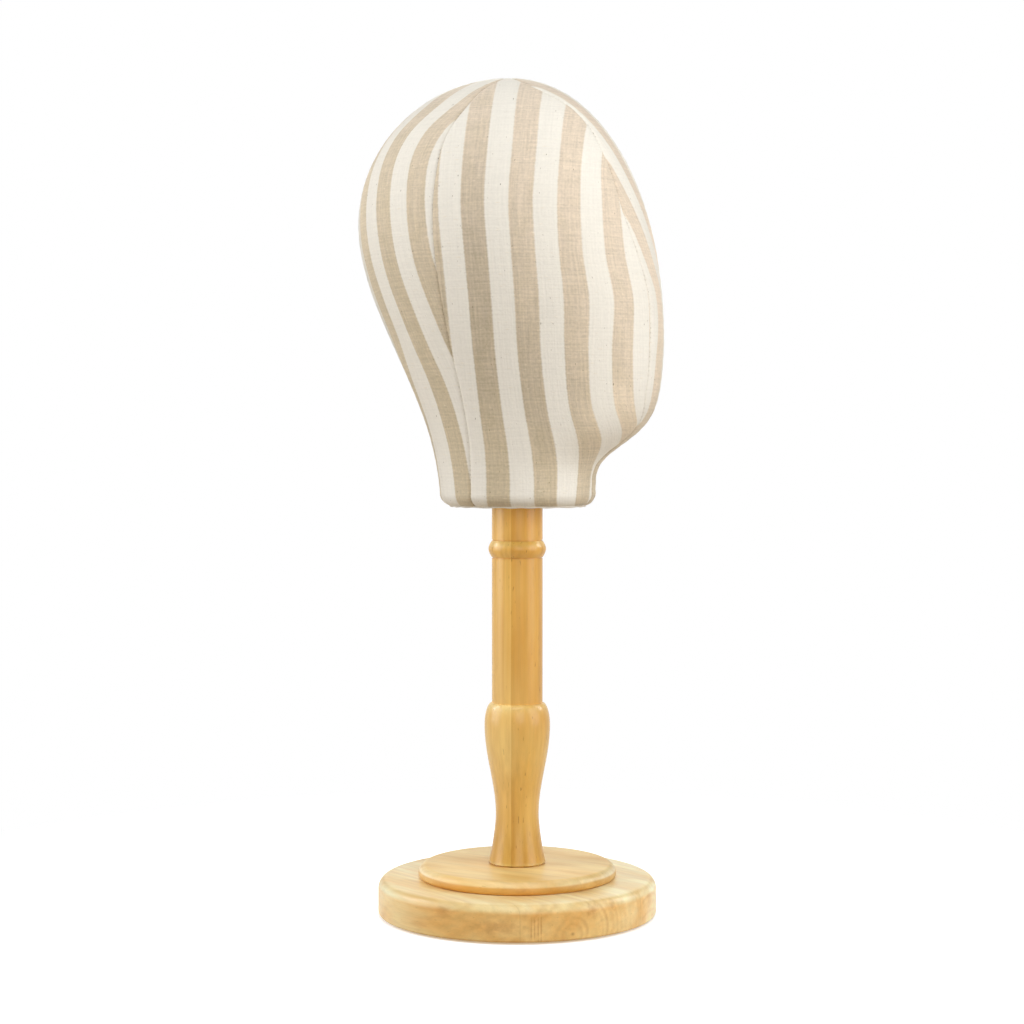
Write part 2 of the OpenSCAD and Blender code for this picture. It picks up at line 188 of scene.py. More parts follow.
def stripedLinen(look):
    material, add = newMaterial("linen_cotton_woven")
    across = add("Attribute", attribute_name="across").outputs["Fac"]
    along = add("Attribute", attribute_name="along").outputs["Fac"]
    cloth = add("CombineXYZ", {"X": across, "Y": along})

    def clothNoise(widthMm, lengthMm, detail, shift=(0, 0, 0)):
        spot = add("VectorMath", {
            0: cloth, 1: (1 / widthMm, 1 / lengthMm, 0), 2: shift}, operation="MULTIPLY_ADD")
        return add("TexNoise", {"Vector": spot, "Scale": 1.0, "Detail": detail})

    # edge of each stripe wanders from thread to thread
    edgeShift = add("Math", {0: clothNoise(*look["edges"]), 1: 0.5}, operation="SUBTRACT")
    shifted = add("Math", {0: across, 1: edgeShift}, operation="ADD")
    period = 2 * look["stripeMm"]
    edge = look["edgeMm"] / period
    turnsOfStripe = add("Math", {0: shifted, 1: 1 / period, 2: -0.25}, operation="MULTIPLY_ADD")
    phase = add("Math", {0: turnsOfStripe}, operation="FRACT")
    fromMiddle = add("Math", {0: phase, 1: 0.5}, operation="SUBTRACT")
    offMiddle = add("Math", {0: fromMiddle}, operation="ABSOLUTE")
    stripe = add("MapRange", {
        "Value": offMiddle, "From Min": 0.25 - edge, "From Max": 0.25 + edge, "To Min": 1.0, "To Max": 0.0})
    # yarns differ in tone along the warp and along the weft
    yarnTone = add("Math", {0: clothNoise(*look["warp"]), 1: clothNoise(*look["weft"])}, operation="ADD")
    hairNoise = clothNoise(*look["hairs"])  # hairy yarn, which breaks the lines up
    # painted light on the beige stripes: paler towards the crown and the face, where more light falls,
    # set from the photo
    place = add("TexCoord").outputs["Object"]
    lightward = add("VectorMath", {0: place, 1: look["paintedLightToward"]}, operation="DOT_PRODUCT")
    blotchedAndPaintedLit = add("Math", {0: clothNoise(*look["patches"]), 1: 0.9, 2: lightward}, operation="MULTIPLY_ADD")
    paleShare = add("MapRange", {"Value": blotchedAndPaintedLit, "From Min": look["paleFrom"], "From Max": look["paleTo"]})
    dyedWithPaintedLight = add("Mix", {0: paleShare, 6: look["flax"], 7: look["paintedLitFlax"]}, data_type="RGBA")
    # straw flecks, and paler slubs
    fleck = add("MapRange", {
        "Value": clothNoise(*look["flecks"]), "From Min": 0.735, "From Max": 0.80, "To Max": 0.6})
    slub = add("MapRange", {
        "Value": clothNoise(*look["slubs"], look["slubShift"]), "From Min": 0.66, "From Max": 0.78,
        "To Max": 0.5})
    base = add("Mix", {0: stripe, 6: look["cream"], 7: dyedWithPaintedLight}, data_type="RGBA")
    slubbed = add("Mix", {0: slub, 6: base, 7: look["pale"]}, data_type="RGBA")
    # the dyed yarn is the more uneven one
    unevenness = add("Math", {0: stripe, 1: 0.24, 2: 0.12}, operation="MULTIPLY_ADD")
    toneOff = add("Math", {0: yarnTone, 1: 1.0}, operation="SUBTRACT")
    hairOff = add("Math", {0: hairNoise, 1: 0.9, 2: -0.45}, operation="MULTIPLY_ADD")
    allOff = add("Math", {0: toneOff, 1: hairOff}, operation="ADD")
    brightness = add("Math", {0: allOff, 1: unevenness, 2: 1.0}, operation="MULTIPLY_ADD")
    # painted light and shade on the beige stripes at each listed place
    for middle, halfSize, change in look["places"]:
        fromMiddle = add("VectorMath", {0: place, 1: middle}, operation="SUBTRACT")
        sized = add("VectorMath", {0: fromMiddle, 1: halfSize}, operation="DIVIDE")
        reach = add("VectorMath", {0: sized}, operation="LENGTH")
        paintedLightChange = add("MapRange", {
            "Value": reach, "From Min": 0.3, "To Min": change, "To Max": 0.0},
            interpolation_type="SMOOTHSTEP")
        brightness = add("Math", {0: paintedLightChange, 1: stripe, 2: brightness}, operation="MULTIPLY_ADD")
    toned = add("VectorMath", {0: slubbed, "Scale": brightness}, operation="SCALE")
    flecked = add("Mix", {0: fleck, 6: toned, 7: look["fleck"]}, data_type="RGBA")
    # painted shade in the seam grooves, darkest in dots at the stitch spacing and broken into runs
    seam = add("Attribute", attribute_name="seamNear").outputs["Fac"]
    stitchWave = add("Math", {0: along, 1: 2 * math.pi / look["stitchMm"]}, operation="MULTIPLY")
    stitchSine = add("Math", {0: stitchWave}, operation="SINE")
    stitch = add("MapRange", {"Value": stitchSine, "To Min": 0.14, "To Max": 0.4})
    seamShadeSpot = add("Math", {0: along, 1: 1 / look["seamShadeRunMm"]}, operation="MULTIPLY")
    seamShadeNoise = add("TexNoise", {"W": seamShadeSpot, "Scale": 1.0, "Detail": 2.0}, noise_dimensions="1D")
    seamShadeRuns = add("MapRange", {"Value": seamShadeNoise, "From Min": 0.4, "From Max": 0.65, "To Min": 0.15})
    seamStitch = add("Math", {0: seam, 1: stitch}, operation="MULTIPLY")
    seamShade = add("Math", {0: seamStitch, 1: seamShadeRuns}, operation="MULTIPLY")
    sewn = add("Mix", {0: seamShade, 6: flecked, 7: look["fleck"]}, data_type="RGBA")
    heightSum = add("Math", {0: hairNoise, 1: yarnTone}, operation="ADD")
    height = add("Math", {0: slub, 1: 1.2, 2: heightSum}, operation="MULTIPLY_ADD")
    bump = add("Bump", {"Height": height, "Strength": 0.5, "Distance": 0.00025})
    finishMaterial(add, {
        "Base Color": sewn, "Roughness": 0.9, "Specular IOR Level": 0.25, "Normal": bump,
        # loose fibres catch the light where the cloth is seen edge on
        "Sheen Weight": look["fuzzShow"], "Sheen Roughness": 0.4, "Sheen Tint": look["cream"]})
    return material


# Pine, edge-glued, turned, sanded and clear-varnished: soft growth rings of uneven strength, short resin
# streaks, amber clouds, and a smooth gloss that whitens where it is seen at a low angle
pineNoise = {  # size across and along the grain in mm, place, detail
    "wander": (28, 150, 3.0, 2.0), "patches": (24, 80, 9.0, 1.0), "fibre": (0.7, 22, 0.0, 3.0),
    "streak": (3.4, 85, 6.0, 2.0), "resin": (1.5, 8, 5.0, 1.0), "cloud": (22, 60, 2.0, 3.0),
}


def varnishedPine(name, look):
    material, add = newMaterial(name)
    place = add("TexCoord").outputs["Object"]
    inMm = add("VectorMath", {0: place, "Scale": 1000.0}, operation="SCALE")
    alongMm, wideMm, thickMm = (add("VectorMath", {0: inMm, 1: look[way]}, operation="DOT_PRODUCT")
                                for way in ("grainAlong", "boardAcross", "boardUp"))
    grain = add("CombineXYZ", {"X": wideMm, "Y": thickMm, "Z": alongMm})

    def grainNoise(acrossMm, lengthMm, shift, detail):
        scaled = add("VectorMath", {
            0: grain, 1: (1 / acrossMm, 1 / acrossMm, 1 / lengthMm), 2: (shift, shift * 0.7, shift * 0.4)},
            operation="MULTIPLY_ADD")
        return add("TexNoise", {"Vector": scaled, "Scale": 1.0, "Detail": detail})

    # each board has its own pith, tone and share of amber, and a glue line where it meets the next
    boards = look["boards"]
    own = dict(boards[0])
    glue = 0.0
    for left, right in zip(boards, boards[1:]):
        beyond = add("Math", {0: wideMm, 1: left["upTo"]}, operation="GREATER_THAN")
        for key in ("pithWide", "pithUp", "tone", "amber"):
            step = right[key] - left[key]
            own[key] = add("Math", {0: beyond, 1: step, 2: own[key]}, operation="MULTIPLY_ADD")
        onGlue = add("Math", {0: wideMm, 1: left["upTo"], 2: look["glueMm"]}, operation="COMPARE")
        glue = add("Math", {0: onGlue, 1: glue}, operation="MAXIMUM")
    # growth rings round the pith: they wander along the grain, and only some of them are dark
    fromPithWide = add("Math", {0: wideMm, 1: own["pithWide"]}, operation="SUBTRACT")
    fromPithUp = add("Math", {0: thickMm, 1: own["pithUp"]}, operation="SUBTRACT")
    fromPith = add("CombineXYZ", {"X": fromPithWide, "Y": fromPithUp})
    radius = add("VectorMath", {0: fromPith}, operation="LENGTH")
    wandered = add("Math", {
        0: grainNoise(*pineNoise["wander"]), 1: look["wanderMm"], 2: radius}, operation="MULTIPLY_ADD")
    evenCount = add("Math", {0: wandered, 1: 1 / look["ringMm"]}, operation="MULTIPLY")
    spacing = add("TexNoise", {"W": evenCount, "Scale": 0.45, "Detail": 0.0}, noise_dimensions="1D")
    count = add("Math", {0: spacing, 1: 0.8, 2: evenCount}, operation="MULTIPLY_ADD")
    phase = add("Math", {0: count}, operation="FRACT")
    rise = add("Math", {0: phase, 1: 1.6}, operation="POWER")
    fall = add("MapRange", {
        "Value": phase, "From Min": 0.45, "To Min": 1.0, "To Max": 0.0}, interpolation_type="SMOOTHSTEP")
    ringNumber = add("Math", {0: count}, operation="FLOOR")
    chance = add("TexWhiteNoise", {"W": ringNumber}, noise_dimensions="1D")
    strength = add("MapRange", {
        "Value": chance, "From Min": 0.25, "To Min": 0.1, "To Max": look["ringShow"]})
    patchy = add("MapRange", {
        "Value": grainNoise(*pineNoise["patches"]), "From Min": 0.35, "From Max": 0.65, "To Min": 0.3,
        "To Max": 1.5})
    ringShape = add("Math", {0: rise, 1: fall}, operation="MULTIPLY")
    ringStrong = add("Math", {0: ringShape, 1: strength}, operation="MULTIPLY")
    ring = add("Math", {0: ringStrong, 1: patchy}, operation="MULTIPLY", use_clamp=True)
    midWander = look["wanderMm"] / 2
    heart = add("MapRange", {
        "Value": wandered, "From Min": midWander, "From Max": midWander + 2.6, "To Min": 0.75,
        "To Max": 0.0}, interpolation_type="SMOOTHSTEP")
    fibre = grainNoise(*pineNoise["fibre"])
    streak = grainNoise(*pineNoise["streak"])
    resin = add("MapRange", {
        "Value": grainNoise(*pineNoise["resin"]), "From Min": 0.708, "From Max": 0.783,
        "To Max": look["resinShow"]})
    cloud = add("MapRange", {
        "Value": grainNoise(*pineNoise["cloud"]), "From Min": 0.38, "From Max": 0.68,
        "To Max": look["cloudShow"]})
    amberShare = add("Math", {0: cloud, 1: own["amber"]}, operation="ADD", use_clamp=True)
    clouded = add("Mix", {0: amberShare, 6: look["pale"], 7: look["amber"]}, data_type="RGBA")
    # single darker marks: middle in mm, half sizes in mm, strength
    marks = 0.0
    for middle, halfSize, depth in look["marks"]:
        fromMark = add("VectorMath", {0: inMm, 1: middle}, operation="SUBTRACT")
        sized = add("VectorMath", {0: fromMark, 1: halfSize}, operation="DIVIDE")
        reach = add("VectorMath", {0: sized}, operation="LENGTH")
        ragged = add("Math", {0: streak, 1: 0.9, 2: reach}, operation="MULTIPLY_ADD")
        mark = add("MapRange", {
            "Value": ragged, "From Min": 0.6, "From Max": 1.45, "To Min": depth, "To Max": 0.0},
            interpolation_type="SMOOTHSTEP")
        marks = add("Math", {0: mark, 1: marks}, operation="MAXIMUM")
    darker = add("Math", {0: ring, 1: marks}, operation="MAXIMUM")
    ringed = add("Mix", {0: darker, 6: clouded, 7: look["late"]}, data_type="RGBA")
    hearted = add("Mix", {0: heart, 6: ringed, 7: look["resin"]}, data_type="RGBA")
    fibreOff = add("Math", {0: fibre, 1: 0.16, 2: -0.08}, operation="MULTIPLY_ADD")
    streakOff = add("Math", {
        0: streak, 1: look["streakShow"], 2: -0.5 * look["streakShow"]}, operation="MULTIPLY_ADD")
    unevenness = add("Math", {0: fibreOff, 1: streakOff}, operation="ADD")
    brightness = add("Math", {0: unevenness, 1: own["tone"]}, operation="ADD")
    tinted = add("VectorMath", {
        0: hearted, 1: tintBy(add, alongMm, look["paintedLightAlong"])}, operation="MULTIPLY")
    toned = add("VectorMath", {0: tinted, "Scale": brightness}, operation="SCALE")
    streaked = add("Mix", {0: resin, 6: toned, 7: look["resin"]}, data_type="RGBA")
    glueShow = add("Math", {0: glue, 1: look["glueShow"]}, operation="MULTIPLY")
    glued = add("Mix", {0: glueShow, 6: streaked, 7: look["resin"]}, data_type="RGBA")
    # painted light from above, with painted reflection and highlights of the varnish: upward faces paler
    # than edges; the amounts are listed in each look
    outward = add("TexCoord").outputs["Normal"]
    facing = add("SeparateXYZ", {0: outward})
    faced = add("VectorMath", {
        0: glued, 1: tintBy(add, facing.outputs["Z"], look["paintedLightFacing"])}, operation="MULTIPLY")
    # painted light and shade on a rim from the view's left to its right, fixed to the wood: paler at the
    # ends lit from the sides, and darker in front on the riser
    sideways = add("VectorMath", {0: outward, 1: tuple(viewRight)}, operation="DOT_PRODUCT")
    sided = add("VectorMath", {0: faced, 1: tintBy(add, sideways, look["paintedLightSide"])}, operation="MULTIPLY")
    bump = add("Bump", {"Height": fibre, "Strength": 0.15, "Distance": 0.0001})
    finishMaterial(add, {
        "Base Color": sided, "Roughness": 0.5, "IOR": 1.5, "Specular IOR Level": 0.05, "Normal": bump,
        "Coat Weight": look["coat"], "Coat Roughness": look["coatRoughness"], "Coat IOR": 1.5})
    return material


plainTint = (1.0, 1.0, 1.0)
postPineLook = {
    "grainAlong": (0.01, 0.0, 1.0),
    "boardAcross": tuple(viewRight),
    "boardUp": tuple(viewAway),
    "boards": [
        {"upTo": -3.9, "pithWide": -48.0, "pithUp": 30.0, "tone": 1.065, "amber": 0.0},
        {"upTo": 100.0, "pithWide": 36.0, "pithUp": 44.0, "tone": 0.99, "amber": 0.5},
    ],
    # painted light and shade by height in mm: painted shade darker at the foot, painted light paler and
    # less yellow on the vase, and painted light under the head where its shadow falls
    "paintedLightAlong": [
        (40, (0.81, 0.81, 0.64)), (78, (1.07, 1.21, 1.48)), (105, (1.13, 1.33, 1.8)),
        (138, (1.04, 1.08, 1.2)), (230, (1.06, 1.06, 1.0)), (264, (1.32, 1.36, 1.38)),
    ],
    # painted light from above and painted highlights on the shoulder and the bead
    "paintedLightFacing": [(0.05, plainTint), (0.55, (1.0, 1.16, 1.45))],
    "paintedLightSide": [(0, plainTint)],
    "marks": [(tuple(viewRight * -16 - viewAway * 6 + up * 70), (26, 34, 84), 0.4)],
    "glueMm": 0.25, "glueShow": 0.06,
    "ringMm": 4.0, "wanderMm": 6.0, "ringShow": 0.55, "streakShow": 0.26,
    "resinShow": 0.5, "cloudShow": 0.4,
    "pale": "#E4B663", "late": "#BE7C2A", "amber": "#D0953A", "resin": "#7C430C",
    "coat": 0.65, "coatRoughness": 0.26,
}


def boardLook(grainTurnDeg, changes):
    grainTurn = math.radians(grainTurnDeg)
    along = viewRight * math.sin(grainTurn) - viewAway * math.cos(grainTurn)
    across = viewRight * math.cos(grainTurn) + viewAway * math.sin(grainTurn)
    shared = {
        "grainAlong": tuple(along), "boardAcross": tuple(across), "boardUp": tuple(up),
        "paintedLightAlong": [(0, plainTint)], "marks": [],
        "resin": "#8A5520", "resinShow": 0.2, "coatRoughness": 0.3,
    }
    return {**postPineLook, **shared, **changes}


def onRim(roundDeg, height, radius=88.0):
    turned = math.radians(roundDeg)
    return tuple((viewRight * math.sin(turned) - viewAway * math.cos(turned)) * radius + up * height)


# boards run from back left to front right; the heart of the second one comes out low on the rim
discPineLook = boardLook(40, {
    "boards": [
        {"upTo": -56.7, "pithWide": -45.0, "pithUp": -22.0, "tone": 0.98, "amber": 0.1},
        {"upTo": 30.0, "pithWide": -27.8, "pithUp": 5.6, "tone": 0.98, "amber": 0.1},
        {"upTo": 75.0, "pithWide": 45.0, "pithUp": -15.0, "tone": 1.03, "amber": 0.0},
        {"upTo": 200.0, "pithWide": 80.0, "pithUp": 50.0, "tone": 0.98, "amber": 0.1},
    ],
    "pale": "#F3CE86", "late": "#C07A35", "amber": "#E3AC5C",
    "ringMm": 4.4, "ringShow": 0.6, "cloudShow": 1.0, "streakShow": 0.3, "glueShow": 0.12,
    "coat": 0.55,
    # painted light from above: the flat top paler than the rim
    "paintedLightFacing": [
        (0.05, plainTint), (0.5, (0.98, 1.22, 1.7)), (0.85, (0.98, 1.22, 1.7)), (0.98, (1.12, 1.48, 2.4))],
    # painted light: paler towards the left and right ends of the rim
    "paintedLightSide": [(-0.9, (1.14, 1.3, 1.7)), (-0.5, plainTint), (0.5, plainTint), (0.9, (1.14, 1.3, 1.7))],
    "marks": [
        (onRim(-7, 11), (20, 9, 6), 0.4), (onRim(-31, 18), (9, 9, 6), 0.4), (onRim(-42, 8), (12, 9, 3), 0.3),
        (onRim(31, 19), (6, 6, 7), 0.5), (onRim(41, 20), (4, 4, 8), 0.4), (onRim(35, 9), (4, 4, 8), 0.3),
    ] + [(onRim(roundDeg, 10, 90), (0.8, 0.8, 12), 0.5) for roundDeg in (5.3, 6.6, 8.0, 9.2)],
})
riserPineLook = boardLook(58, {
    "boards": [
        {"upTo": -21.0, "pithWide": -40.0, "pithUp": 60.0, "tone": 0.98, "amber": 0.15},
        {"upTo": 36.0, "pithWide": 8.0, "pithUp": -6.0, "tone": 1.0, "amber": 0.0},
        {"upTo": 200.0, "pithWide": 50.0, "pithUp": 70.0, "tone": 1.02, "amber": 0.1},
    ],
    "pale": "#DFAF62", "late": "#B36E2C", "amber": "#CE9342",
    "ringMm": 4.6, "wanderMm": 7.0, "ringShow": 0.45, "cloudShow": 0.8, "glueShow": 0.1,
    "coat": 0.45,
    # painted light from above: the flat top paler than the round-over and the wall
    "paintedLightFacing": [
        (0.25, plainTint), (0.48, (1.2, 1.62, 3.0)), (0.85, (1.2, 1.6, 2.9)), (0.98, (1.22, 1.58, 2.45))],
    # painted light paler at the left end of the rim, painted shade darker in front and to the right
    "paintedLightSide": [
        (-0.95, (1.25, 1.5, 2.2)), (-0.6, (1.1, 1.16, 1.2)), (0.1, plainTint), (0.45, (0.82, 0.82, 0.72)),
        (0.9, (0.9, 1.0, 1.25))],
})


# Metals, plastic, foam, felt and plywood of the pieces inside
def hiddenMaterial(name, look):
    material, add = newMaterial(name)
    place = add("TexCoord").outputs["Object"]
    stretched = add("VectorMath", {0: place, 1: look["stretch"]}, operation="MULTIPLY")
    speckle = add("TexNoise", {"Vector": stretched, "Scale": 1000 / look["grainMm"], "Detail": 3.0})
    colour = add("Mix", {0: speckle, 6: look["dark"], 7: look["light"]}, data_type="RGBA")
    bump = add("Bump", {"Height": speckle, "Strength": look["bump"], "Distance": look["grainMm"] * mm})
    finishMaterial(add, {
        "Base Color": colour, "Roughness": look["roughness"], "Metallic": look.get("metallic", 0.0),
        "Normal": bump, "Sheen Weight": look.get("sheen", 0.0)})
    return material


linen = stripedLinen(linenLook)
postPine = varnishedPine("pine_post_varnished", postPineLook)
discPine = varnishedPine("pine_disc_varnished", discPineLook)
riserPine = varnishedPine("pine_riser_varnished", riserPineLook)
zincSteel = hiddenMaterial("steel_zinc_plated", {  # thin grey plating, slightly mottled
    "dark": "#9A9DA1", "light": "#C4C7C9", "grainMm": 0.9, "stretch": (1, 1, 1), "bump": 0.1,
    "roughness": 0.38, "metallic": 1.0})
turnedBrass = hiddenMaterial("brass_turned", {  # fine rings from the lathe
    "dark": "#B08D4A", "light": "#D8B76C", "grainMm": 1.0, "stretch": (0.2, 0.2, 4), "bump": 0.15,
    "roughness": 0.33, "metallic": 1.0})
birchPlywood = hiddenMaterial("birch_plywood_sawn", {  # thin layers, light and dark in turn
    "dark": "#B98F58", "light": "#DDBB86", "grainMm": 4.0, "stretch": (0.15, 0.15, 2.6), "bump": 0.3,
    "roughness": 0.75})
pvcTube = hiddenMaterial("pvc_tube_extruded", {  # drawn lines along the tube, dull grey
    "dark": "#B4B4AE", "light": "#CACAC4", "grainMm": 1.2, "stretch": (1, 1, 0.05), "bump": 0.08,
    "roughness": 0.5})
needleFelt = hiddenMaterial("wool_felt_needled", {  # short matted fibres, no weave
    "dark": "#2E2722", "light": "#5A4E44", "grainMm": 0.7, "stretch": (1, 1, 0.6), "bump": 0.8,
    "roughness": 1.0, "sheen": 0.25})
foamBlock = hiddenMaterial("polyurethane_foam_cut", {  # open cells, cream
    "dark": "#DCD5BF", "light": "#F0EBDB", "grainMm": 0.9, "stretch": (1, 1, 1), "bump": 0.7,
    "roughness": 0.95})
for nodeName, material in {
    "riser_screws": zincSteel, "base_washer": zincSteel, "base_bolt": zincSteel, "post_insert": turnedBrass,
    "neck_board": birchPlywood, "socket_plug": birchPlywood, "socket_tube": pvcTube,
}.items():
    nodes[nodeName].data.materials.clear()
    nodes[nodeName].data.materials.append(material)
print("materials made")

# Turned pieces, each a profile of radius and height in mm
stand = {
    "baseZ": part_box("base_disc")[0].z / mm, "riserZ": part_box("base_riser")[0].z / mm,
    "footZ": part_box("base_riser")[1].z / mm, "topZ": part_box("post")[1].z / mm,
    "baseR": 90.0, "baseRound": 6.5, "baseArris": 1.5, "topLoopR": 70.0,
    "riserR": 64.0, "riserRound": 5.8, "riserUnder": 2.5,
    "recessR": 12.0, "recessDepth": 9.0, "boltHoleR": 4.3, "spigotHoleR": 11.1,
    "spigotR": 11.0, "spigotZ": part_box("post")[0].z / mm, "insertHoleR": 6.1, "insertHoleDepth": 21.1,
    "footR": 18.4, "waistR": 13.9, "waistH": 31.5, "vaseR": 21.2, "vaseH": 90.0, "shoulderH": 104.5,
    "columnR": 16.4, "ringH": 204.0, "ringW": 10.8, "ringProud": 2.2, "tipRound": 2.0, "flarePower": 1.45,
    "footArris": 1.0, "footGap": 1.4, "quirkW": 0.6, "quirkDepth": 0.7,  # thin cuts beside the bead
}


def latheMesh(name, profile, closed, material, body, around=160):
    angles = np.arange(around) * 2 * math.pi / around
    points, faces, rings = [], [], []
    for r, z in profile:
        if r < 1e-6:
            rings.append([len(points)])
            points.append((0.0, 0.0, z))
        else:
            rings.append(list(range(len(points), len(points) + around)))
            points.extend((r * math.cos(a), r * math.sin(a), z) for a in angles)
    pairs = list(zip(rings, rings[1:])) + ([(rings[-1], rings[0])] if closed else [])
    for low, high in pairs:
        for i in range(around):
            j = (i + 1) % around
            if len(low) == 1:
                faces.append((low[0], high[j], high[i]))
            elif len(high) == 1:
                faces.append((low[i], low[j], high[0]))
            else:
                faces.append((low[i], low[j], high[j], high[i]))
    return makePiece(name, points, faces, material, body, 20)


def quarter(centreR, centreZ, radius, fromDeg, toDeg, steps=12):
    angles = [math.radians(fromDeg + (toDeg - fromDeg) * i / steps) for i in range(steps + 1)]
    return [(centreR + radius * math.cos(a), centreZ + radius * math.sin(a)) for a in angles]


s = stand
recessZ = s["baseZ"] + s["recessDepth"]
discProfile = (
    [(s["boltHoleR"], recessZ), (s["recessR"], recessZ), (s["recessR"], s["baseZ"])]
    + quarter(s["baseR"] - s["baseArris"], s["baseZ"] + s["baseArris"], s["baseArris"], -90, 0, 6)
    + quarter(s["baseR"] - s["baseRound"], s["riserZ"] - s["baseRound"], s["baseRound"], 0, 90)
    + [(s["topLoopR"], s["riserZ"]), (s["boltHoleR"], s["riserZ"])]
)
baseDisc = latheMesh("baseDisc", discProfile, True, discPine, "stand", 200)
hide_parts("base_disc")
riserProfile = (
    [(s["spigotHoleR"], s["riserZ"])]
    + quarter(s["riserR"] - s["riserUnder"], s["riserZ"] + s["riserUnder"], s["riserUnder"], -90, 0, 8)
    + quarter(s["riserR"] - s["riserRound"], s["footZ"] - s["riserRound"], s["riserRound"], 0, 90)
    + [(s["spigotHoleR"], s["footZ"])]
)
baseRiser = latheMesh("baseRiser", riserProfile, True, riserPine, "stand", 200)
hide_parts("base_riser")

insertTop = s["spigotZ"] + s["insertHoleDepth"]
seatR = s["footR"] - s["footGap"]
postProfile = [
    (0.0, insertTop), (s["insertHoleR"], insertTop), (s["insertHoleR"], s["spigotZ"]),
    (s["spigotR"], s["spigotZ"]), (s["spigotR"], s["footZ"]),
    (seatR, s["footZ"]), (seatR, s["footZ"] + s["footArris"] / 2),
]
flareSteps, bellySteps, shoulderSteps, columnSteps, beadSteps = 20, 30, 24, 6, 20
for i in range(flareSteps + 1):
    t = i / flareSteps
    flare = s["waistR"] + (s["footR"] - s["waistR"]) * (1 - t) ** s["flarePower"]
    postProfile.append((flare, s["footZ"] + max(s["waistH"] * t, s["footArris"])))
for i in range(1, bellySteps + 1):
    t = i / bellySteps
    postProfile.append((s["waistR"] + (s["vaseR"] - s["waistR"]) * (1 - math.cos(math.pi * t)) / 2,
                        s["footZ"] + s["waistH"] + (s["vaseH"] - s["waistH"]) * t))
for i in range(1, shoulderSteps + 1):
    a = math.pi / 2 * i / shoulderSteps
    postProfile.append((s["columnR"] + (s["vaseR"] - s["columnR"]) * math.cos(a),
                        s["footZ"] + s["vaseH"] + (s["shoulderH"] - s["vaseH"]) * math.sin(a)))
beadLow, beadHigh = (s["footZ"] + s["ringH"] + side * s["ringW"] / 2 for side in (-1, 1))
columnLow = s["footZ"] + s["shoulderH"]
for i in range(1, columnSteps):
    postProfile.append((s["columnR"], columnLow + (beadLow - columnLow) * i / columnSteps))
cutR = s["columnR"] - s["quirkDepth"]
postProfile += [(s["columnR"], beadLow - s["quirkW"]), (cutR, beadLow - s["quirkW"]), (cutR, beadLow)]
for i in range(beadSteps + 1):
    a = math.pi * i / beadSteps
    postProfile.append((s["columnR"] + s["ringProud"] * math.sin(a), beadLow + s["ringW"] * a / math.pi))
postProfile += [(cutR, beadHigh), (cutR, beadHigh + s["quirkW"]), (s["columnR"], beadHigh + s["quirkW"])]
postProfile += quarter(s["columnR"] - s["tipRound"], s["topZ"] - s["tipRound"], s["tipRound"], 0, 90, 8)
postProfile.append((0.0, s["topZ"]))
turnedPost = latheMesh("turnedPost", postProfile, False, postPine, "stand", 128)
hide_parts("post")
print("turned pieces made")

# Felt discs, with a soft worn edge
feltLook = {"softShare": 0.35, "loopShare": 0.5}


def feltDisc(name, nodeName, body):
    low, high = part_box(nodeName)
    radius, z0, z1 = high.x / mm, low.z / mm, high.z / mm
    soft = (z1 - z0) * feltLook["softShare"]
    loopR = radius * feltLook["loopShare"]
    profile = ([(0.0, z0), (loopR, z0)] + quarter(radius - soft, z0 + soft, soft, -90, 0, 4)
               + quarter(radius - soft, z1 - soft, soft, 0, 90, 4) + [(loopR, z1), (0.0, z1)])
    disc = latheMesh(name, profile, False, needleFelt, body, 120)
    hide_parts(nodeName)


feltDisc("feltUnderBase", "base_felt", "stand")
feltDisc("feltOnPost", "swivel_pad", "swivel")
print("felt discs made")

# Head surface, the same form as the solids, in mm above the neck's underside
headShape = {
    "height": 273.5, "width": 154.0, "widestAt": 170.0, "faceReach": 94.5, "faceAt": 103.0,
    "backReach": 103.0, "backAt": 180.0, "crownX": -6.0, "neckFront": 50.5, "neckBack": 50.0,
    "neckWidth": 96.0,
    "chinAt": 43.0, "edgeRound": 8.0, "chinCrisp": 4.0, "foreheadPower": 2.12, "napePower": 1.08,
    "napeSlope": 0.25, "cheekSlope": 0.3,
    "neckZ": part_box("neck_base_cloth")[0].z / mm,
}
# seams by share of the height and angle from the face; the solids have the same lines with fewer stations
faceSeam = [
    (0, 9), (0.155, 10.5), (0.19, 14), (0.25, 20), (0.35, 20.2), (0.46, 19.2), (0.53, 22), (0.6, 26),
    (0.68, 29.3), (0.81, 29), (0.885, 30), (0.925, 36), (0.975, 60), (1, 75)]
backSeam = [
    (0, 118.5), (0.08, 116.4), (0.17, 113), (0.3, 111.5), (0.75, 111.7), (0.85, 111), (0.92, 106.6),
    (0.96, 103), (1, 92)]


def ease(t, slope=0.0):
    return (t ** 3 - 2 * t ** 2 + t) * slope + 3 * t ** 2 - 2 * t ** 3


def smoothLine(stations, place):
    xs = np.array([x for x, y in stations], float)
    ys = np.array([y for x, y in stations], float)
    last = len(xs) - 1
    before, after = np.maximum(np.arange(last + 1) - 1, 0), np.minimum(np.arange(last + 1) + 1, last)
    slopes = (ys[after] - ys[before]) / (xs[after] - xs[before])
    i = np.clip(np.searchsorted(xs, place, "right") - 1, 0, last - 1)
    span = xs[i + 1] - xs[i]
    t = np.clip((place - xs[i]) / span, 0, 1)
    return (ys[i] + (ys[i + 1] - ys[i]) * ease(t) + span * slopes[i] * t * (1 - t) ** 2
            - span * slopes[i + 1] * t ** 2 * (1 - t))


def dome(h, foot, power=2.0):
    t = np.clip((h - foot) / (headShape["height"] - foot), 0, 1)
    return np.maximum(0, 1 - t ** power) ** (1 / power)


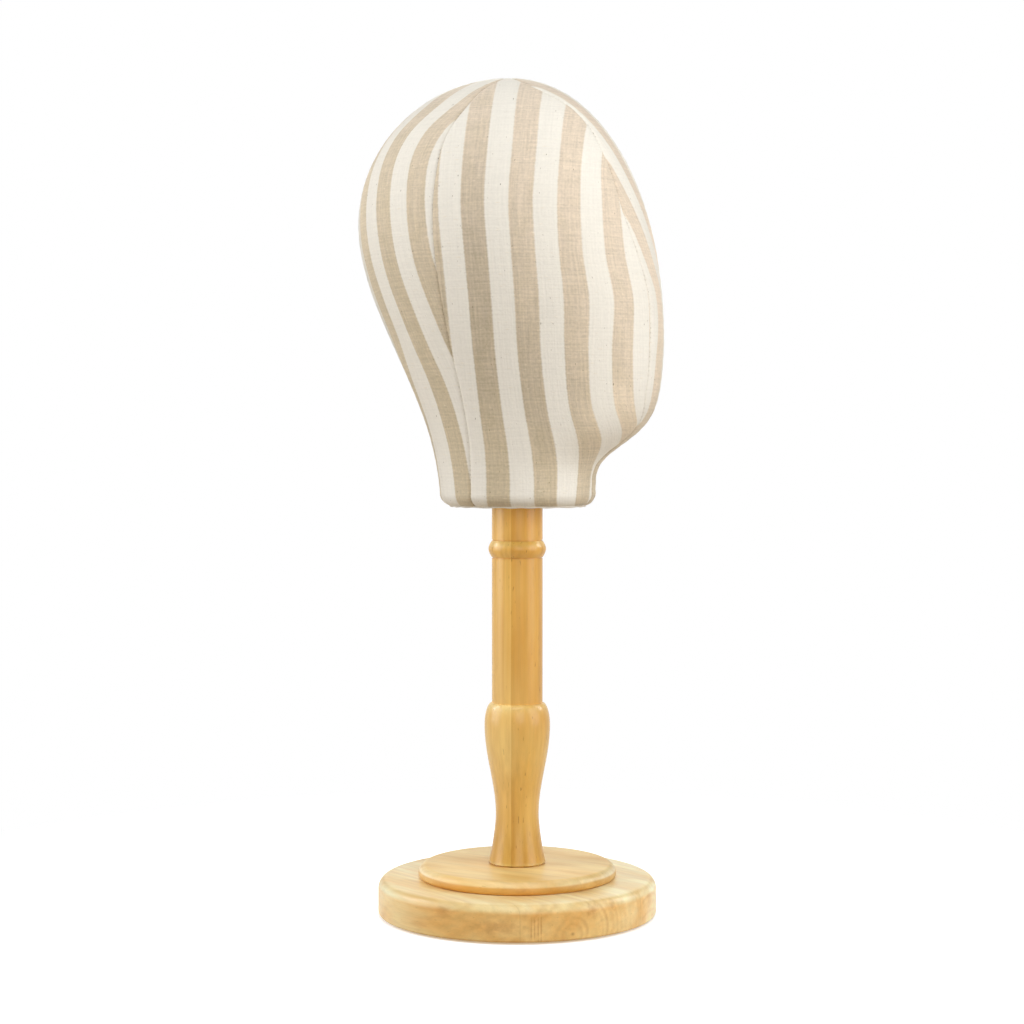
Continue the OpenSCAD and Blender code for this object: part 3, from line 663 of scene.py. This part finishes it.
def headPoint(angleDeg, h, edgeIn):
    k = headShape
    rim = k["edgeRound"]
    level = np.maximum(h, rim)

    def climbTo(top):
        return np.clip((level - rim) / (top - rim), 0, 1)

    rise = climbTo(k["faceAt"]) ** k["chinCrisp"]
    middle = ((k["chinAt"] - rim) / (k["faceAt"] - rim)) ** k["chinCrisp"]
    chin = (1 + middle) * rise / (rise + middle)
    front = np.where(
        level < k["faceAt"], k["neckFront"] - edgeIn + (k["faceReach"] - k["neckFront"]) * chin,
        k["crownX"] + (k["faceReach"] - k["crownX"]) * dome(level, k["faceAt"], k["foreheadPower"]))
    nape = climbTo(k["backAt"]) ** k["napePower"]
    back = np.where(
        level < k["backAt"],
        -(k["neckBack"] - edgeIn + (k["backReach"] - k["neckBack"]) * ease(nape, k["napeSlope"])),
        k["crownX"] - (k["backReach"] + k["crownX"]) * dome(level, k["backAt"]))
    cheek = climbTo(k["widestAt"])
    half = np.where(
        level < k["widestAt"],
        k["neckWidth"] / 2 - edgeIn + (k["width"] - k["neckWidth"]) / 2 * ease(cheek, k["cheekSlope"]),
        k["width"] / 2 * dome(level, k["widestAt"]))
    widest = k["crownX"] * ease(np.clip(level / k["faceAt"], 0, 1))
    angle = np.radians(angleDeg)
    reach = np.where(angleDeg < 90, front - widest, widest - back)
    return np.stack([widest + reach * np.cos(angle), -half * np.sin(angle), k["neckZ"] + h + 0 * angle], -1)


def headRows(edgeRows, faceRows, domeRows, crowdLow=1.25):
    k = headShape
    rim = k["edgeRound"]
    rows = []
    for i in range(edgeRows):
        a = math.pi / 2 * i / edgeRows
        rows.append((rim - rim * math.cos(a), rim * (1 - math.sin(a))))
    for i in range(faceRows):
        rows.append((rim + (k["backAt"] - rim) * (i / faceRows) ** crowdLow, 0.0))
    for i in range(domeRows):
        rows.append((k["backAt"] + (k["height"] - k["backAt"]) * math.sin(math.pi / 2 * i / domeRows), 0.0))
    return np.array(rows)


def surfaceNormals(points):
    normals = np.cross(np.gradient(points, axis=0), np.gradient(points, axis=1))
    return normals / np.maximum(np.linalg.norm(normals, axis=-1, keepdims=True), 1e-9)


# Cover: six gores of striped linen, sewn edge to edge and drawn tight over the form
coverLook = {
    "clothMm": 0.9, "seamDepthMm": 0.9, "seamWidthMm": 2.4, "seamTuckMm": 0.2, "crownTuckMm": 0.3,
    "puckerMm": 0.16, "puckerReachMm": 7.0, "puckerEveryMm": 8.0, "puckerDrift": 1.7, "driftMm": 19,
    "lumpMm": 0.22, "lumpEveryMm": 24.0, "crowding": 0.9, "seamShadeMm": 1.1,
    "straightFrom": 200, "straightTo": 260,  # between these heights the side's stripes turn straight in plan
    "rows": (7, 84, 46),
}
# stripes by height: the grain line of the side, how far the pull of the cloth moves its stripes towards the
# face at four places round it, the first stripe behind the back seam, and the one in front of the face seam
sideGrain = [
    (0, 25.5), (22, 24.1), (54, 20.8), (93, 17.9), (128, 15.6), (180, 14.1), (225, 14.7), (273.5, 12.5)]
pullPlaces = (-45, 0, 30, 62)
pullHeights = (0, 22, 40, 64, 94, 128, 158, 190, 225, 258, 273.5)
clothPull = (
    (-1.6, 0.2, 2.2, 2.8, 3.0, 3.2, 2.0, -0.3, -0.5, 2.0, 2.0),
    (-1.3, 0.3, 1.0, -0.3, -0.7, 1.0, 0.6, -0.7, -0.2, 0.2, 0.2),
    (-1.5, 3.0, 2.2, -2.3, -1.3, 1.6, 0.1, -0.5, -0.6, -0.8, -0.8),
    (-2.0, 4.0, 8.0, -1.0, 0.1, 5.4, 1.5, 0.5, -0.8, -1.0, -1.0),
)
backStripe = [
    (0, -16), (22, -13), (46, -9), (64, -6.5), (82, -3), (94, 0.5), (110, 5), (124, 8.6), (148, 14.4),
    (172, 17.8), (205, 20.5), (219, 20), (235, 16.5), (247, 11.2), (255, 7), (273.5, 0)]
faceEdge = [
    (0, 12), (55, 12.4), (74, 15), (94, 16), (118, 14.4), (136, 17), (148, 23), (160, 28.5), (172, 33),
    (184, 37.5), (200, 42), (215, 44.5), (230, 46), (273.5, 50)]
backDraw, faceDraw = 1.07, 1.25  # stripes drawn narrower by the pull of the seams
# cloth stretched wider low at the nape
napeStretch = {"mm": 9.0, "reachMm": 24.0, "fullTo": 70.0, "noneFrom": 120.0}
rowPlan = headRows(*coverLook["rows"])
rowHeights = rowPlan[:, 0]


def rowArcs(points):
    steps = np.linalg.norm(np.diff(points, axis=1), axis=-1)
    return np.concatenate([np.zeros((len(points), 1)), np.cumsum(steps, axis=1)], axis=1)


def stepUp(h, low, high):
    return ease(np.clip((h - low) / (high - low), 0, 1))


def sideAcross(points, arcs):
    grainX = smoothLine(sideGrain, rowHeights)
    grainArc = np.array([np.interp(-x, -p[:, 0], a) for x, p, a in zip(grainX, points, arcs)])
    byArc = grainArc[:, None] - arcs
    byPlan = points[:, :, 0] - grainX[:, None]
    share = stepUp(rowHeights, coverLook["straightFrom"], coverLook["straightTo"])[:, None]
    fromGrain = byArc * (1 - share) + byPlan * share
    pulls = np.array([smoothLine(list(zip(pullHeights, line)), rowHeights) for line in clothPull])
    pulled = np.array([np.interp(f, pullPlaces, p) for f, p in zip(fromGrain, pulls.T)])
    return fromGrain - pulled + 1.5 * linenLook["stripeMm"]


def backAcross(points, arcs):
    n = napeStretch
    first = smoothLine(backStripe, rowHeights)[:, None]
    beyond = arcs - first - 2 * linenLook["stripeMm"] / backDraw
    low = 1 - stepUp(rowHeights, n["fullTo"], n["noneFrom"])[:, None]
    stretched = n["mm"] * low * stepUp(beyond, 0, n["reachMm"])
    return (first - arcs + stretched) * backDraw + linenLook["stripeMm"]


def faceAcross(points, arcs):
    return (np.abs(points[:, :, 1]) - smoothLine(faceEdge, rowHeights)[:, None]) * faceDraw


def seamRelief(arcs, along, seed):
    c = coverLook
    width = arcs[:, -1:]
    fromEdge = np.minimum(arcs, width - arcs)
    near = np.clip(1 - fromEdge / c["seamWidthMm"], 0, 1)
    valley = c["seamDepthMm"] * near ** 2
    drift = c["puckerDrift"] * np.sin(along / c["driftMm"] + seed)
    wave = np.sin(2 * np.pi * along / c["puckerEveryMm"] + seed + drift)
    pucker = c["puckerMm"] * wave * np.exp(-fromEdge / c["puckerReachMm"]) * (1 - near)
    return valley + pucker


def lumps(points, every):
    flat = points.reshape(-1, 3) / every
    return np.array([noise.noise(Vector(p)) for p in flat]).reshape(points.shape[:2])


def makeGore(name, nodeName, left, seams, columns, acrossOf, seed, flat, area):
    c = coverLook
    t = np.linspace(0, 1, columns)
    shares = t - c["crowding"] * np.sin(2 * np.pi * t) / (2 * np.pi)
    places = rowHeights / headShape["height"]
    start = smoothLine(seams[0], places) if seams[0] else np.zeros_like(places)
    end = smoothLine(seams[1], places) if seams[1] else np.full_like(places, 180.0)
    angles = start[:, None] + (end - start)[:, None] * shares[None, :]
    base = headPoint(angles, rowHeights[:, None], rowPlan[:, 1:2])
    arcs = rowArcs(base)
    middle = base[:, columns // 2]
    climb = np.concatenate([[0], np.cumsum(np.linalg.norm(np.diff(middle, axis=0), axis=1))])
    along = np.repeat(climb[:, None], columns, axis=1)
    across = acrossOf(base, arcs)
    normals = surfaceNormals(base)
    sink = seamRelief(arcs, along, seed)
    mirror = np.array([1.0, -1.0 if left else 1.0, 1.0])
    lump = c["lumpMm"] * lumps(base * mirror, c["lumpEveryMm"])
    outer = base + normals * (lump - sink)[..., None]
    inner = base - normals * c["clothMm"]
    for edge in (0, -1):
        inner[:, edge] = base[:, edge] - normals[:, edge] * (c["seamDepthMm"] + c["seamTuckMm"])
    crown = np.array([headShape["crownX"], 0, headShape["neckZ"] + headShape["height"] - c["seamDepthMm"]])
    rows = len(rowPlan)
    count = rows * columns
    tops = [crown, crown - (0, 0, c["crownTuckMm"])]
    points = np.concatenate([outer.reshape(-1, 3), inner.reshape(-1, 3), tops]) * mirror
    topOuter, topInner = 2 * count, 2 * count + 1
    faces = gridFaces(rows, columns, 0, True) + gridFaces(rows, columns, count, False)
    lastRow = (rows - 1) * columns
    for i in range(columns - 1):
        faces.append((lastRow + i, topOuter, lastRow + i + 1))
        faces.append((count + lastRow + i, count + lastRow + i + 1, topInner))
        faces.append((i, i + 1, count + i + 1, count + i))
    for r in range(rows):
        a, b = r * columns, (r + 1) * columns
        if r == rows - 1:
            faces.append((a, count + a, topInner, topOuter))
            faces.append((b - 1, topOuter, topInner, count + b - 1))
        else:
            faces.append((a, count + a, count + b, b))
            faces.append((b - 1, b + columns - 1, count + b + columns - 1, count + b - 1))
    if left:
        faces = [f[::-1] for f in faces]
    piece = makePiece(name, points, faces, linen, "head", 70)
    seamNear = np.clip(1 - np.minimum(arcs, arcs[:, -1:] - arcs) / c["seamShadeMm"], 0, 1)
    for key, values, atCrown in (("across", across, across[-1].mean()), ("along", along, climb[-1]),
                                 ("seamNear", seamNear, 1)):
        addNumbers(piece, key, np.concatenate([values.ravel(), values.ravel(), [atCrown, atCrown]]))
    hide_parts(nodeName)


# gores: seams on both edges, columns, stripes, start of the puckers, flat size in m and flat area in m2
gorePlan = {
    "face": ((None, faceSeam), 26, faceAcross, 0.3, (0.045, 0.37), 0.0079),
    "side": ((faceSeam, backSeam), 58, sideAcross, 1.1, (0.165, 0.35), 0.0322),
    "back": ((backSeam, None), 46, backAcross, 2.4, (0.125, 0.36), 0.0233),
}
for left, side in ((False, "Right"), (True, "Left")):
    for place, plan in gorePlan.items():
        makeGore(place + "Gore" + side, place + "_panel_" + side.lower(), left, *plan)
print("cover sewn from six gores")


# Form inside the cover, with the pocket for the board and the bore for the tube
def headLoop(row, around):
    angles = np.linspace(0, 180, around // 2 + 1)
    h, edgeIn = row
    half = headPoint(angles, np.full_like(angles, h), np.full_like(angles, edgeIn))
    return np.concatenate([half, half[-2:0:-1] * (1, -1, 1)])


def flatRing(r, z, around):
    angles = -np.linspace(0, 2 * np.pi, around, endpoint=False)
    return np.stack([r * np.cos(angles), r * np.sin(angles), np.full(around, z)], -1)


coreLook = {
    "insetMm": 1.3, "around": 72, "rows": (4, 26, 16), "boardR": 34.1, "boardTopMm": 10.1, "boreR": 20.5,
    "gapMm": 0.1,
}
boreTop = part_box("socket_tube")[1].z / mm + coreLook["gapMm"]
around = coreLook["around"]
loops = np.array([headLoop(row, around) for row in headRows(*coreLook["rows"])])
padded = np.concatenate([loops[:, -1:], loops, loops[:, :1]], axis=1)
loops = loops - surfaceNormals(padded)[:, 1:-1] * coreLook["insetMm"]
floorZ = headShape["neckZ"] + coreLook["insetMm"]
loops[0, :, 2] = floorZ
boardTop = headShape["neckZ"] + coreLook["boardTopMm"]
boreR, boardR = coreLook["boreR"], coreLook["boardR"]
pocket = [flatRing(r, z, around) for r, z in (
    (boreR, boreTop), (boreR, boardTop), (boardR, boardTop), (boardR, floorZ))]
rings = np.concatenate([pocket, loops])
coreTop = headShape["neckZ"] + headShape["height"] - coreLook["insetMm"]
corePoints = np.concatenate([rings.reshape(-1, 3), [[0, 0, boreTop], [headShape["crownX"], 0, coreTop]]])
coreFaces = gridFaces(len(rings), around, 0, True, True)
boreEnd, coreCrown, lastLoop = len(corePoints) - 2, len(corePoints) - 1, (len(rings) - 1) * around
for i in range(around):
    j = (i + 1) % around
    coreFaces.append((i, j, boreEnd))
    coreFaces.append((lastLoop + j, lastLoop + i, coreCrown))
foamCore = makePiece("foamCore", corePoints, coreFaces, foamBlock, "head", 50)
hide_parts("head_core")
print("foam form made")

# Cloth that closes the neck's underside, with its turned hem
hemLook = {
    "around": 180, "holeR": 20.5, "clothMm": 0.9, "clothRings": 5, "sagMm": 0.5, "clothStripeMm": 4.0,
    "rollSteps": 10, "rollWideMm": 1.43, "rollTallMm": 0.825, "rollOutMm": 0.6, "rollUpMm": 0.1,
    "wavyMm": 0.175, "wavesRound": 19, "waveDrift": 1.3, "driftsRound": 5, "hemStripeMm": 7.5, "stepMm": 1.5,
}
around = hemLook["around"]
outline = headLoop(rowPlan[0], around)
hole = flatRing(hemLook["holeR"], headShape["neckZ"], around)
under = []
for t in np.linspace(0, 1, hemLook["clothRings"]):
    under.append(hole + (outline - hole) * t - (0, 0, hemLook["sagMm"] * math.sin(math.pi * t)))
under = np.array(under)
neckRings = np.concatenate([under, under[::-1] + (0, 0, hemLook["clothMm"])])
neckFaces = gridFaces(len(neckRings), around, 0, False, True, True)
neckCloth = makePiece("neckCloth", neckRings.reshape(-1, 3), neckFaces, linen, "head", 50)
addNumbers(neckCloth, "across", neckRings[:, :, 0] + hemLook["clothStripeMm"])
addNumbers(neckCloth, "along", neckRings[:, :, 1])
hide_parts("neck_base_cloth")
outward = outline * (1, 1, 0)
outward = outward / np.linalg.norm(outward, axis=1, keepdims=True)
roundTurn = np.arange(around) * 2 * np.pi / around
drift = hemLook["waveDrift"] * np.sin(roundTurn * hemLook["driftsRound"])
wave = np.sin(roundTurn * hemLook["wavesRound"] + drift) * hemLook["wavyMm"]
hemRings = []
for k in range(hemLook["rollSteps"]):
    a = 2 * math.pi * k / hemLook["rollSteps"]
    ring = outline + outward * (hemLook["rollWideMm"] * math.cos(a) + hemLook["rollOutMm"])
    ring[:, 2] += hemLook["rollTallMm"] * math.sin(a) + hemLook["rollUpMm"] + wave
    hemRings.append(ring)
hemRings = np.array(hemRings)
hemFaces = gridFaces(len(hemRings), around, 0, True, True, True)
neckHem = makePiece("neckHem", hemRings.reshape(-1, 3), hemFaces, linen, "head", 80)
addNumbers(neckHem, "across", np.full(hemRings.shape[:2], hemLook["hemStripeMm"]))
addNumbers(neckHem, "along", np.tile(np.arange(around) * hemLook["stepMm"], len(hemRings)))
print("neck closed and hemmed")


# Stage: white floor, and soft light from both sides and above as in a light tent
def stageLight(name, place, target, size, watts, seenBy="all"):
    lamp = bpy.data.lights.new(name, "AREA")
    lamp.shape = "RECTANGLE"
    lamp.size, lamp.size_y = size
    lamp.energy = watts
    holder = bpy.data.objects.new(name, lamp)
    scene.collection.objects.link(holder)
    holder.location = viewRight * place[0] + viewAway * place[1] + up * place[2]
    aim = Vector(target) - holder.location
    holder.rotation_mode = "QUATERNION"
    holder.rotation_quaternion = aim.to_track_quat("-Z", "Y")
    holder.visible_camera = False
    holder.visible_diffuse = seenBy != "gloss"
    holder.visible_glossy = seenBy != "cloth"


# the panels are the bright sides of the tent, which show in the varnish but add no light of their own
lightPlan = {
    "rightBox": ((1.2, -0.55, 0.65), (0, 0, 0.33), (0.9, 1.2), 12.4),
    "leftBox": ((-1.3, -0.1, 0.65), (0, 0, 0.33), (0.9, 1.2), 13.4),
    "frontBox": ((0.3, -1.8, 0.7), (0, 0, 0.33), (1.0, 1.0), 9.8),
    "topBox": ((0.0, -1.0, 1.7), (0, 0, 0.33), (1.3, 0.9), 12.4),
    "backBox": ((0.0, 1.8, 0.8), (0, 0, 0.3), (1.4, 1.0), 13.0, "cloth"),
    "topPanel": ((0.0, 0.0, 1.5), (0, 0, 0.3), (0.9, 0.7), 10.0, "gloss"),
    "rightPanel": ((1.2, 0.4, 0.95), (0, 0, 0.1), (0.4, 0.8), 9.0, "gloss"),
    "leftPanel": ((-1.2, 0.4, 0.95), (0, 0, 0.1), (0.4, 0.8), 9.0, "gloss"),
}
for name, plan in lightPlan.items():
    stageLight(name, *plan)


# what the camera, the varnish and glass see, and not what lights the stand
def seenRays(add):
    path = add("LightPath")
    seen = path.outputs["Is Camera Ray"]
    for kind in ("Is Glossy Ray", "Is Transmission Ray"):
        seen = add("Math", {0: seen, 1: path.outputs[kind]}, operation="MAXIMUM")
    return seen


floorLook = {
    "bounce": "#A89C8C", "face": "#F7F7F5", "half": 6.0, "lift": 0.55, "paleFrom": 0.2, "paleTo": 0.5,
    "gapLift": 0.6, "gapTint": "#EEC990", "darkTo": 0.083, "liftFrom": 0.0905,
}
floorMesh = bpy.data.meshes.new("floor")
half = floorLook["half"]
corners = [(-half, -half, 0), (half, -half, 0), (half, half, 0), (-half, half, 0)]
floorMesh.from_pydata(corners, [], [(0, 1, 2, 3)])
floor = bpy.data.objects.new("floor", floorMesh)
scene.collection.objects.link(floor)
# matt white paper with some glow of its own, which keeps the shadow near the stand soft
floorMaterial, add = newMaterial("paper_sweep_white")
seen = seenRays(add)
spot = add("TexCoord").outputs["Object"]
away = add("VectorMath", {0: spot}, operation="LENGTH")
paleShare = add("MapRange", {
    "Value": away, "From Min": floorLook["paleFrom"], "From Max": floorLook["paleTo"]},
    interpolation_type="SMOOTHSTEP")
paperColour = add("Mix", {0: seen, 6: floorLook["bounce"], 7: floorLook["face"]}, data_type="RGBA")
paper = add("BsdfDiffuse", {"Color": paperColour})
# under the rim that glow is browner, in place of the light that the wood throws back there
clear = add("MapRange", {
    "Value": away, "From Min": floorLook["darkTo"], "From Max": floorLook["liftFrom"]},
    interpolation_type="SMOOTHSTEP")
openSky = add("MapRange", {"Value": clear, "To Min": floorLook["gapLift"], "To Max": floorLook["lift"]})
lift = add("Math", {0: seen, 1: openSky}, operation="MULTIPLY")
glowTint = add("Mix", {0: clear, 6: floorLook["gapTint"], 7: (1, 1, 1, 1)}, data_type="RGBA")
glow = add("Emission", {"Color": glowTint, "Strength": lift})
lifted = add("AddShader", {0: paper, 1: glow})
plainWhite = add("Emission")
whiteShare = add("Math", {0: paleShare, 1: seen}, operation="MULTIPLY")
floorMix = add("MixShader", {0: whiteShare, 1: lifted, 2: plainWhite})
add("OutputMaterial", {"Surface": floorMix})
floorMesh.materials.append(floorMaterial)

world = bpy.data.worlds.new("tent")
scene.world = world
add = nodeAdder(world)
backdrop = add("Background", {"Color": (1, 1, 1, 1), "Strength": seenRays(add)})
add("OutputWorld", {"Surface": backdrop})
print("stage lit")
